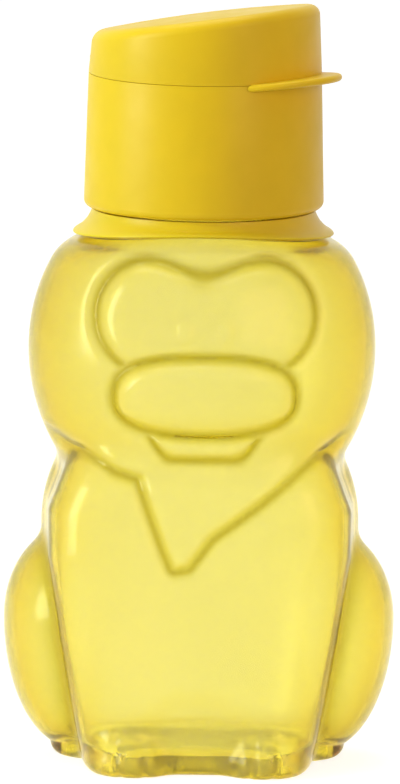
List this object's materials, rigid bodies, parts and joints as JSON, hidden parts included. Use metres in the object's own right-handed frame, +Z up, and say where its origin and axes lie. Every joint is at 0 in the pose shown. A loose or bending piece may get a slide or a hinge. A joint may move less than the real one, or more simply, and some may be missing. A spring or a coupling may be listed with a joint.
{
  "type": "drinking bottle",
  "caption": "Blow-moulded drinking bottle in the form of a sitting lion, with a screw cap, a drinking spout under a hinged flip lid, and soft seals.",
  "frame": {"origin": "centre of the base, on the surface that the bottle stands on", "axes": "+Z up along the neck's axis, -Y the way the lion faces, +X the lion's left side"},
  "size_m": [0.0816, 0.0663, 0.1593],
  "materials": {
    "clear_yellow_plastic": "clear, tinted yellow, smooth",
    "yellow_cap_plastic": "opaque yellow, satin",
    "soft_seal": "pale, matt"
  },
  "bodies": {
    "bottle": {"bottle_body": "clear_yellow_plastic"},
    "seal_ring": {"neck_gasket": "soft_seal"},
    "cap": {"cap_base": "yellow_cap_plastic", "hinge_pin": "yellow_cap_plastic"},
    "lid": {"flip_lid": "yellow_cap_plastic", "spout_seal": "soft_seal"}
  },
  "joints": [
    {"name": "cap_rise", "type": "slide", "parent": "bottle", "child": "seal_ring", "axis": [0, 0, 1], "range_m": [0, 0.0244]},
    {"name": "cap_turn", "type": "hinge", "parent": "seal_ring", "child": "cap", "pos_m": [0, 0, 0.1302], "axis": [0, 0, 1], "range_deg": [0, 1098]},
    {"name": "lid_flip", "type": "hinge", "parent": "cap", "child": "lid", "pos_m": [-0.01912, 0.01195, 0.14555], "axis": [-0.5299, -0.848, 0], "range_deg": [0, 120]}
  ],
  "couplings": [
    {"joint": "cap_rise", "follows": "cap_turn", "m_per_rad": 0.0012732}
  ]
}
